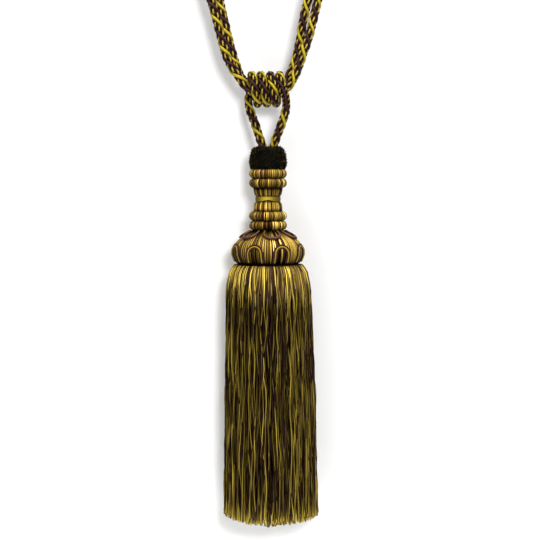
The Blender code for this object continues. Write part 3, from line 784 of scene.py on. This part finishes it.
BAND_THREADS = 7
BAND_COLUMNS = 96
BAND_INSET = 0.45 * MM
BAND_SWELL = 0.12 * MM
BAND_THICK = 0.62  # a thread's radius, as a share of the threads' pitch
BAND_FLAT = 0.8
BAND_TONE = 0.05  # how much every second thread differs
PINCH, PINCH_ANGLE = 0.35, 0.45  # how much it is pinched at the front, and over what angle
# Painted light all round it, and bells of painted highlight in front and behind: size, middle and
# width in radians
BAND_PAINTED_LIGHT = 0.3
FRONT_HIGHLIGHT = (0.85, -0.15, 0.5)
BACK_HIGHLIGHT = (0.6, math.pi, 0.9)


def make_band():
    """The ribbon round the waist, of fine threads that run round it."""
    low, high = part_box("waist_band")
    half = (high.x - low.x) / 2
    yarns = Yarns()
    angle = TAU * (np.arange(BAND_COLUMNS + 1) / BAND_COLUMNS - 0.5)
    pitch = (high.z - low.z) / BAND_THREADS * (1.0 - PINCH * bell(angle, 0.0, PINCH_ANGLE))
    # Painted highlight on the ribbon, lightest in front and behind, darker at its sides
    band_highlight = BAND_PAINTED_LIGHT + FRONT_HIGHLIGHT[0] * bell(angle, *FRONT_HIGHLIGHT[1:])
    band_highlight = band_highlight + BACK_HIGHLIGHT[0] * bell(np.abs(angle), *BACK_HIGHLIGHT[1:])
    for k in range(BAND_THREADS):
        level = high.z - (k + 0.5) * pitch
        swell = BAND_SWELL * math.sin(math.pi * (k + 0.5) / BAND_THREADS)
        line = about(angle, half - BAND_INSET + swell, level)
        tone = GOLD + BAND_TONE * (-1) ** k
        out, thick = about(angle, 1.0, 0.0), BAND_THICK * pitch
        yarns.tube(line, out, thick, THREAD_SIDES, tone, band_highlight, flat=BAND_FLAT)
    piece(yarns, "waist_band_satin", RIBBON, "gold_ribbon", "waist_band")


# The bulb, with its arches and petals

BULB_STEP = 0.03  # share of the height over which its slope is taken
BULB_ROWS = 30
BULB_CORE = 8 * MM
BULB_BASE = 0.84  # radius of its underside, as a share of half the width
# Light on the bulb's threads, by share of its height from the top
BULB_LIGHT = (
    (0.0, 0.02), (0.07, 0.06), (0.16, 0.40), (0.26, 1.0), (0.45, 1.0), (0.62, 0.75), (0.86, 0.4),
    (0.96, 0.12), (1.0, 0.04),
)
ARCH_INSIDE = ARCH_HALF_WIDTH - 1.6 * MM  # half the width that its gimps leave free
ARCH_SHADE = 0.5  # painted shade: how much darker the threads are inside an arch
ARCH_SHADE_EDGE = 6  # and how sharply that begins
ARCH_POINTS = 17
ARCH_LEG_POINTS = 6
# Painted shade: share of the light that a loop's gimps keep on their sides
GIMP_PAINTED_SIDE_LIGHT = 0.4
# The gimps of an arch: spread outwards from its middle, radius and lift in millimetres, and tone
ARCH_GIMPS = (
    (0.75, 0.74, 0.65, WINE),
    (-0.45, 0.50, 0.85, GOLD + 0.06),
    (-1.45, 0.60, 0.35, WINE),
)
# The same of a petal, whose spread is away from the axis
PETAL_GIMPS = (
    (0.0, 0.62, 1.5, OLIVE + 0.04),
    (0.85, 0.55, 1.2, WINE),
    (-0.8, 0.50, 1.4, WINE),
)
PETAL_POINTS = 25
PETAL_REACH = (0.03, 0.45)  # shares of the bulb's height that a petal may lie on
PETAL_BLUNT = 0.9  # the less, the blunter its tip
PETAL_NECK = 0.25  # how much its feet draw together
PETAL_FAN = 0.06  # how much wider a gimp runs for each millimetre of spread
PETAL_SINK = 0.3  # millimetres by which its feet lie lower than the gimps' lift
PETAL_RISE = 0.4 * MM  # and how far its tip rises from there


def bulb_at(share):
    """The bulb's radius and outward direction at shares of its height from the top."""
    radii, places = zip(*BULB_OUTLINE)
    high, low = np.clip(share - BULB_STEP, 0, 1), np.clip(share + BULB_STEP, 0, 1)
    radius = BULB_WIDTH / 2 * np.interp(share, places, radii)
    rise = BULB_WIDTH / 2 * (np.interp(low, places, radii) - np.interp(high, places, radii))
    out = unit(np.stack([BULB_HEIGHT * (low - high), rise], -1))
    return radius, out[..., 0], out[..., 1]


def over_bulb(top, share, degrees, aside, lift):
    """Points lifted off the bulb's face, aside of a bearing, and their outward directions."""
    radius, radial, upward = bulb_at(share)
    angle = np.radians(degrees) + aside / (radius + radial * lift)
    points = about(angle, radius + radial * lift, top - BULB_HEIGHT * share + upward * lift)
    return points, about(angle, radial, upward)


def inside_arches(profile, share):
    """How far each row and thread of the bulb's winding lies inside an arch, from 0 to 1."""
    between = 360.0 / ARCHES
    angle = TAU * (np.arange(BULB_WINDING.threads) + 0.5) / BULB_WINDING.threads
    aside = (np.degrees(angle) - ARCH_FIRST + between / 2) % between - between / 2
    aside = np.radians(aside)[None] * profile[:, :1] / ARCH_INSIDE
    above = np.clip(ARCH_SPRING - share, 0, None)[:, None] * BULB_HEIGHT / ARCH_INSIDE
    within = np.clip((1.0 - np.hypot(aside, above)) * ARCH_SHADE_EDGE, 0, 1)
    return within * (share[:, None] > ARCH_CROWN)


def make_bulb():
    low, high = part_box("bulb")
    half = BULB_WIDTH / 2
    outline = [(half * radius, high.z - BULB_HEIGHT * share) for radius, share in BULB_OUTLINE]
    profile = fine([(BULB_CORE, high.z), *outline, (BULB_BASE * half, low.z)], BULB_ROWS)
    share = (high.z - profile[:, 1]) / BULB_HEIGHT
    profile[:, 0] -= BULB_WINDING.inset * MM
    # Painted shade on the bulb's threads inside the arches
    painted_shade = 1 - ARCH_SHADE * inside_arches(profile, share)
    wind("bulb", profile, table_at(share, BULB_LIGHT), BULB_WINDING, painted_shade)


def arch_line(top, bearing, spread, lift):
    """A gimp of an arch, with its outward directions."""
    half = ARCH_HALF_WIDTH + spread * MM
    turn = np.linspace(0.0, math.pi, ARCH_POINTS)
    leg = np.linspace(ARCH_FOOT, ARCH_SPRING, ARCH_LEG_POINTS + 1)[:-1]
    share = np.concatenate([leg, ARCH_SPRING - half / BULB_HEIGHT * np.sin(turn), leg[::-1]])
    side = np.full(ARCH_LEG_POINTS, half)
    aside = np.concatenate([-side, -half * np.cos(turn), side])
    return over_bulb(top, share, bearing, aside, lift * MM)


def petal_line(top, bearing, spread, lift):
    """A gimp of a petal, with its outward directions."""
    turn = np.linspace(0.0, math.pi, PETAL_POINTS)
    shares = np.linspace(*PETAL_REACH, 200)
    reach = PETAL_ROOT + (PETAL_TIP - PETAL_ROOT) * np.sin(turn) ** PETAL_BLUNT
    reach = reach + spread * MM * np.sin(turn)
    share = np.interp(reach, bulb_at(shares)[0], shares)
    swing = PETAL_HALF_ANGLE * np.cos(turn) * (1 - PETAL_NECK * np.cos(turn) ** 2)
    swing = swing * (1 + spread * PETAL_FAN)
    rise = (lift - PETAL_SINK) * MM + PETAL_RISE * np.sin(turn)
    return over_bulb(top, share, bearing - swing, 0.0, rise)


def make_loops(node, count, first, gimps, gimp_line):
    """Loops of gimps, evenly round the bulb from the first one's bearing."""
    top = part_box("bulb")[1].z
    yarns = Yarns()
    for k in range(count):
        for spread, radius, lift, tone in gimps:
            line, out = gimp_line(top, first + 360.0 * k / count, spread, lift)
            yarns.tube(line, out, radius * MM, THREAD_SIDES, tone, painted_side_light=GIMP_PAINTED_SIDE_LIGHT)
    piece(yarns, f"{node}_gimps", GIMP, "gimp", *[f"{node}_{k + 1}" for k in range(count)])


# The collar of cut pile

TUFTS = 11000
TUFT_WIDTH = 0.42 * MM
TUFT_LENGTH = 1.5 * MM
TUFT_TAPER = 0.7  # width of the tip, as a share of the root's
TUFT_SCATTER = 0.22  # how unevenly the tufts point
TUFT_UNEVEN = 0.45 * MM  # and how unevenly long they are
TUFT_LIGHT = (0.02, 0.35, 0.9)  # light at the root, at the tip's edge and on the cut end
COLLAR_ROWS = 160
LEG_AT = 4 * MM  # distance of each leg of the hanging cord from the axis
LEG_CLEAR = 0.2 * MM
SLOT_DEPTH = 4 * MM
# The collar's upper edge stands out this much, about this share of its height, over this width
BRIM, BRIM_AT, BRIM_WIDTH = 0.8 * MM, 0.13, 0.12
# Shares of the tufts with long gold-tipped ends: frayed everywhere, and more at the two sides and at
# the top as a painted golden sheen along the collar's edges
FRAYED, SIDE_SHEEN_TUFTS, TOP_SHEEN_TUFTS = 0.004, 0.30, 0.06
TOP_SHEEN_ABOVE = 0.15
FRAY_LENGTH = (0.3, 1.2)  # millimetres
FRAY_AND_SHEEN_TONE = 0.8
SIDE_GOLD = 0.03  # share of the tufts with gold sides
CORE_DEPTH = 1.1 * MM  # the dark core inside the pile
CORE_COLUMNS = 48
# Painted shade on the dark core under the tufts
CORE_LIGHT = 0.3


def make_collar():
    low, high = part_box("collar")
    half, height = (high.x - low.x) / 2, high.z - low.z
    outline = [(half * radius, high.z - height * share) for radius, share in COLLAR_OUTLINE]
    profile = fine(outline, COLLAR_ROWS)
    out = outwards(profile)
    chance = chance_of("collar")

    # The tufts stand all over the outline, but clear of the legs in the slot
    area = np.cumsum(profile[:, 0])
    row = np.searchsorted(area, chance.uniform(0.0, area[-1], TUFTS))
    angle = chance.uniform(0.0, TAU, TUFTS)
    foot = about(angle, profile[row, 0], profile[row, 1])
    beside_leg = np.hypot(np.abs(foot[:, 0]) - LEG_AT, foot[:, 1])
    clear = (beside_leg > CORD_RADIUS + LEG_CLEAR) | (foot[:, 2] < high.z - SLOT_DEPTH)
    row, angle, foot = row[clear], angle[clear], foot[clear]
    count = len(row)

    # Each tuft is a square prism, closed by its cut end
    normal = about(angle, out[row, 0], out[row, 1])
    normal = unit(normal + chance.normal(0.0, TUFT_SCATTER, (count, 3)))
    first = unit(np.cross(normal, chance.normal(0.0, 1.0, (count, 3))))
    second = np.cross(normal, first)
    corner = np.stack([first + second, second - first, -first - second, first - second], 1)
    corner = corner * (TUFT_WIDTH / 2 * chance.uniform(0.7, 1.3, count))[:, None, None]
    share = (high.z - foot[:, 2]) / height
    brim = BRIM * bell(share, BRIM_AT, BRIM_WIDTH)
    # Real fraying everywhere, and at the sides and top gold ends that paint the pile's sheen
    fray_and_sheen = FRAYED + SIDE_SHEEN_TUFTS * np.abs(np.sin(angle)) ** 6
    fray_and_sheen = fray_and_sheen + TOP_SHEEN_TUFTS * (share < TOP_SHEEN_ABOVE)
    fray_and_sheen_tufts = chance.uniform(0, 1, count) < fray_and_sheen
    tail = np.where(fray_and_sheen_tufts, chance.uniform(*FRAY_LENGTH, count), 0.0)
    reach = brim + tail * MM + chance.normal(0.0, TUFT_UNEVEN, count)
    tip = foot + normal * reach[:, None]
    root = foot - normal * TUFT_LENGTH
    tips = tip[:, None] + TUFT_TAPER * corner
    points = np.concatenate([root[:, None] + corner, tips, tips], 1).reshape(-1, 3)
    base = np.arange(count)[:, None] * 12
    quads = [base + np.array((k, (k + 1) % 4, 4 + (k + 1) % 4, 4 + k)) for k in range(4)]
    caps = base + np.array((8, 9, 10, 11))
    golden = chance.uniform(0, 1, count) < SIDE_GOLD
    side = np.where(golden, chance.uniform(0.7, 1.0, count), DARK)
    # Gold cut ends: fraying, and painted sheen at the sides and top
    end = np.where(fray_and_sheen_tufts, FRAY_AND_SHEEN_TONE, DARK)
    tone = np.concatenate([np.repeat(side[:, None], 8, 1), np.repeat(end[:, None], 4, 1)], 1)
    light = np.tile(np.repeat(TUFT_LIGHT, 4), count)
    shade = light * np.repeat(chance.uniform(0.5, 1.2, count), 12)
    yarns = Yarns()
    yarns.add(points, [*quads, caps], 0.0, 0.0, tone.reshape(-1), shade)

    core = (profile - out * CORE_DEPTH)[::4]
    angles = TAU * np.arange(CORE_COLUMNS) / CORE_COLUMNS
    skin = about(angles[None], core[:, :1], core[:, 1:])
    faces = ring_quads(*skin.shape[:2])
    yarns.add(skin.reshape(-1, 3), [faces], 0.0, 0.0, DARK, CORE_LIGHT)
    piece(yarns, "collar_pile", PILE, "dark_pile", "collar")


# The skirt

SKIRT_LENGTH = 201.8 * MM
SKIRT_SHIFT = 0.4 * MM
SKIRT_LEAN = 2.6 * MM
SWAY_FROM = 20 * MM  # how far down the strands begin to drift
SWAY = 0.012  # of the angle, and of the radius
# The skirt's outer face: drop below its top, and radius, in millimetres
OUTER_FACE = ((1.6, 27.9), (6.0, 31.4), (20.0, 34.3), (100.0, 36.4), (201.8, 38.4))
# The locks of strands: waves round the skirt, radians of slant, and size
LOCKS = ((19, 14, 0.25), (37, 23, 0.35), (61, 31, 0.30))
# The layers of strands: depth inside the outer face at root and tip and radius of a strand, in
# millimetres, number of strands, and the light that reaches them
LAYERS = (
    (0.4, 0.4, 0.40, 225, 1.15),
    (0.9, 1.2, 0.40, 225, 0.75),
    (1.5, 2.2, 0.42, 225, 0.32),
    (2.2, 3.4, 0.46, 225, 0.12),
    (3.8, 6.0, 0.70, 170, 0.08),
    (5.5, 9.0, 0.80, 130, 0.08),
    (8.5, 15.0, 0.95, 100, 0.08),
    (12.0, 23.0, 1.10, 60, 0.08),
)
OUTER_LAYERS = 4
STRAND_STEPS = 26
STRAND_FIRST = 1.6 * MM  # drop of a strand's first point after its root
STRAND_LONGER = (-3.0, 2.4)  # how much shorter or longer it may be, in millimetres
ROOT_RADIUS = 23.4 * MM
ROOT_DROP = 2.9 * MM
LOCK_PULL = 1.2  # millimetres that a lock draws its strands aside, and lifts its crest
LOCK_CREST = 0.6
# Each strand's own waves: size in millimetres, and how many there are down the skirt
WEAVE_OUT = (0.55, 2.6)
WEAVE_ASIDE = (0.6, 1.9)
WEAVE_FINE = (0.22, 5.2)
STRAYS = 0.07  # share of the strands that stray across others, how far and in what wave
STRAY_REACH, STRAY_WAVE = 8.0, 0.5
GOLD_SHARE, OLIVE_SHARE = 0.50, 0.16  # of the strands; the others are wine
END_FROM, END_OVER = 0.965, 0.02  # where the cut ends begin, and over what share of the length
END_TONE, END_LIGHT = 0.3, 0.8
# By share of the skirt's length from the top: tone of a wine strand, darkening below the shoulder as
# painted shade, light and thickness
WINE_SHADED_TONE = ((0.0, WINE), (0.08, WINE), (0.25, 0.36))
STRAND_LIGHT = (
    (0.0, 0.1), (0.015, 2.3), (0.04, 2.8), (0.08, 1.8), (0.17, 0.50), (0.95, 0.74), (1.0, 1.9),
)
STRAND_THICK = ((0.0, 0.8), (0.05, 1.0), (0.97, 1.0), (1.0, 1.15))
# Painted shade: share of the light that a strand keeps on its side towards the axis
STRAND_PAINTED_SIDE_LIGHT = 0.3
MOST_LIGHT = 2.4
# The cap under the bulb, dark as painted shade in the notch between bulb and skirt: radius and drop
# in millimetres
CAP_OUTLINE = ((4.0, 0.8), (24.8, 0.6), (26.2, 2.0), (24.5, 8.0), (4.0, 9.0))
CAP_ROWS = 14
CAP_THREADS = 96
CAP_LIGHT = 0.6


def sway(points, top):
    """The strands drift aside as in the part: a slow ripple and a lean, with depth."""
    x, y, z = points.T
    depth = np.clip((top - SWAY_FROM - z) / SKIRT_LENGTH, 0.0, 1.0)
    angle = np.arctan2(x, -y)
    ripple = np.sin(3 * angle + 9.0 * depth) + 0.6 * np.sin(7 * angle - 14.0 * depth)
    swing = SWAY * ripple * depth
    radial = 1.0 + SWAY * depth * np.sin(5 * angle + 4.0 * depth)
    across = radial * (x * np.cos(swing) - y * np.sin(swing))
    away = radial * (x * np.sin(swing) + y * np.cos(swing))
    return np.stack([across + SKIRT_SHIFT + SKIRT_LEAN * depth**0.85, away, z], 1)


def locks(angle, depth, layer):
    """How far each place stands out in its lock, and the pull towards the lock's crest."""
    chance = chance_of("locks", layer // 2)
    crest, pull = 0.0, 0.0
    for around, down, size in LOCKS:
        for slant in (1.0, -0.7):
            place = around * angle + slant * down * depth + chance.uniform(0, TAU)
            crest = crest + size * np.sin(place)
            pull = pull + size * np.cos(place)
    return crest, pull


def weave(size, waves, depth, start):
    return size * np.sin(TAU * waves * depth + start)


def strand_line(layer, number, k, top, chance):
    """A strand's line from its root, and at its points the depth and the crest of its lock."""
    root_in, tip_in, _, count, _ = layer
    drops, radii = np.array(OUTER_FACE).T * MM
    steps = np.linspace(0.0, 1.0, STRAND_STEPS) ** 1.4
    length = SKIRT_LENGTH + chance.uniform(*STRAND_LONGER) * MM
    drop = STRAND_FIRST + (length - STRAND_FIRST) * steps
    depth = drop / SKIRT_LENGTH
    inset = (root_in + (tip_in - root_in) * depth) * MM
    angle = TAU * (k + chance.uniform(-0.8, 0.8)) / count
    loose = np.clip(depth * 9, 0.0, 1.0)
    crest, pull = locks(angle, depth, number)
    starts = chance.uniform(0, TAU, 4)
    out = LOCK_CREST * crest - 0.5 + weave(*WEAVE_OUT, depth, starts[0])
    reach = np.interp(drop, drops, radii) - inset + loose * MM * out
    aside = LOCK_PULL * pull + weave(*WEAVE_ASIDE, depth, starts[1])
    aside = aside + weave(*WEAVE_FINE, depth, starts[2])
    if chance.uniform() < STRAYS:
        far = chance.uniform(-STRAY_REACH, STRAY_REACH)
        aside = aside + weave(far, STRAY_WAVE, depth, starts[3])
    bearing = angle + loose * aside * MM / reach
    root = about(angle, ROOT_RADIUS - root_in * MM, top - ROOT_DROP - root_in * MM)
    line = about(bearing, reach, top - drop - root_in * MM * 0.6)
    line = sway(np.concatenate([root[None], line]), top)
    return line, np.concatenate([[0.0], depth]), np.concatenate([crest[:1], crest])


def strand_tone(chance, depth):
    """Gold, olive or wine, with the wine darkened below the shoulder as painted shade."""
    kind = chance.uniform()
    wave = np.sin(TAU * chance.uniform(1.5, 5.0) * depth + chance.uniform(0, TAU))
    if kind < GOLD_SHARE:
        return chance.uniform(0.70, 0.98) + 0.12 * wave
    if kind < GOLD_SHARE + OLIVE_SHARE:
        return chance.uniform(0.54, 0.66) + 0.10 * wave
    return table_at(depth, WINE_SHADED_TONE) + 0.06 * wave


def make_strands(layers, first_layer, sides, top, chance):
    yarns = Yarns()
    for number, layer in enumerate(layers, first_layer):
        _, _, radius, count, light = layer
        for k in range(count):
            line, depth, crest = strand_line(layer, number, k, top, chance)
            end = np.clip((depth - END_FROM) / END_OVER, 0.0, 1.0)
            tone = strand_tone(chance, depth) + END_TONE * end
            shade = table_at(depth, STRAND_LIGHT) * (light + end * (END_LIGHT - light))
            shade = shade * chance.uniform(0.4, 1.4)
            # Painted light and shade: strands on the crest of a lock lighter, those between locks
            # darker
            shade = np.minimum(shade * np.clip(0.85 + 0.28 * crest, 0.35, 1.3), MOST_LIGHT)
            thick = radius * MM * table_at(depth, STRAND_THICK) * chance.uniform(0.75, 1.15)
            out = line * (1.0, 1.0, 0.0)
            yarns.tube(line, out, thick, sides, tone, shade, painted_side_light=STRAND_PAINTED_SIDE_LIGHT)
    return yarns


def make_skirt():
    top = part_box("skirt")[1].z
    chance = chance_of("skirt")
    outer = make_strands(LAYERS[:OUTER_LAYERS], 0, 4, top, chance)
    inner = make_strands(LAYERS[OUTER_LAYERS:], OUTER_LAYERS, 3, top, chance)
    piece(outer, "skirt_outer_strands", STRAND, "cut_strands", "skirt")
    piece(inner, "skirt_inner_strands", STRAND, "cut_strands")
    crown = fine([(radius * MM, top - drop * MM) for radius, drop in CAP_OUTLINE], CAP_ROWS)
    bundles = Bundles(CAP_THREADS, 4, 4, 0.0, chance)
    # The cap's dark tone and low light are painted shade under the bulb
    bundles.tone[:] = DARK
    shade = np.full((CAP_ROWS, CAP_THREADS), CAP_LIGHT)
    cap = wound(crown, bundles, 0.1 * MM, 0.0, shade, chance)
    piece(cap, "skirt_cap", STRAND, "cut_strands")


# The floor, the wall behind and the lights

WALL_HALF = 2.4
FLOOR_HALF = 3.0
SKY = 0.32  # strength of the studio's even light
# Place, aim, size in metres and power in watts. The wash lights the wall alone, and the top lamp
# spares it
LAMPS = {
    "wash": ((-0.4, -1.0, -0.8), (-0.1, 0.0, -0.45), 1.0, 9.5),
    "key": ((0.16, -1.25, 0.02), (0.0, 0.0, -0.25), 0.22, 10.5),
    "top": ((0.10, -0.35, 0.75), (0.0, 0.0, -0.30), 0.4, 14.0),
    "back": ((-0.16, 1.25, 0.05), (0.0, 0.0, -0.25), 0.4, 13.0),
}


def see_through_behind(material):
    """The wall shows only from in front, so that it hides nothing in a view from behind."""
    tree = material.node_tree
    clear = tree.nodes.new("ShaderNodeBsdfTransparent")
    mix = tree.nodes.new("ShaderNodeMixShader")
    geometry = tree.nodes.new("ShaderNodeNewGeometry")
    link(tree, geometry.outputs["Backfacing"], mix.inputs["Fac"])
    link(tree, tree.nodes["Principled BSDF"].outputs["BSDF"], mix.inputs[1])
    link(tree, clear.outputs["BSDF"], mix.inputs[2])
    link(tree, mix.outputs["Shader"], tree.nodes["Material Output"].inputs["Surface"])


def panel(name, half, place, tilt, white, roughness):
    """A plain square panel of the stage."""
    material, shader = shiny(f"pale_{name}", roughness, 0.2)
    shader["Base Color"].default_value = (white, white, white, 1.0)
    bpy.ops.mesh.primitive_plane_add(size=2.0, location=place, rotation=(tilt, 0.0, 0.0))
    obj = bpy.context.object
    obj.name = name
    obj.scale = (half, half, 1.0)
    obj.data.materials.append(material)
    return obj


def make_lamp(name):
    place, aim, size, power = LAMPS[name]
    data = bpy.data.lights.new(name, "AREA")
    data.shape = "DISK"
    data.size = size
    data.energy = power
    return aimed(name, data, place, aim)


def make_stage():
    wall = panel("wall", WALL_HALF, (0.0, BACKDROP, 0.0), math.radians(90), 0.94, 0.9)
    see_through_behind(wall.active_material)
    # The tieback is lit by the lamps alone, as before a wall that is far away
    wall.visible_diffuse = False
    wall.visible_glossy = False
    wall.visible_shadow = False
    panel("floor", FLOOR_HALF, (0.0, 0.0, FLOOR), 0.0, 0.8, 0.8)

    world = bpy.data.worlds.new("studio")
    bpy.context.scene.world = world
    world.use_nodes = True
    sky = world.node_tree.nodes["Background"].inputs
    sky["Color"].default_value = (1.0, 1.0, 1.0, 1.0)
    sky["Strength"].default_value = SKY

    lamps = {name: make_lamp(name) for name in LAMPS}
    wall_alone, wall_spared = (bpy.data.collections.new(name) for name in ("alone", "spared"))
    wall_alone.objects.link(wall)
    wall_spared.objects.link(wall)
    wall_spared.collection_objects[0].light_linking.link_state = "EXCLUDE"
    lamps["wash"].light_linking.receiver_collection = wall_alone
    lamps["top"].light_linking.receiver_collection = wall_spared
    lamps["back"].visible_glossy = False  # no glints from behind through the wall
    bpy.context.scene.view_settings.view_transform = "Standard"


make_camera()
make_cords()
make_rings()
make_spool()
make_band()
make_bulb()
make_loops("arch", ARCHES, ARCH_FIRST, ARCH_GIMPS, arch_line)
make_loops("petal", PETALS, PETAL_FIRST, PETAL_GIMPS, petal_line)
make_collar()
make_skirt()
make_stage()
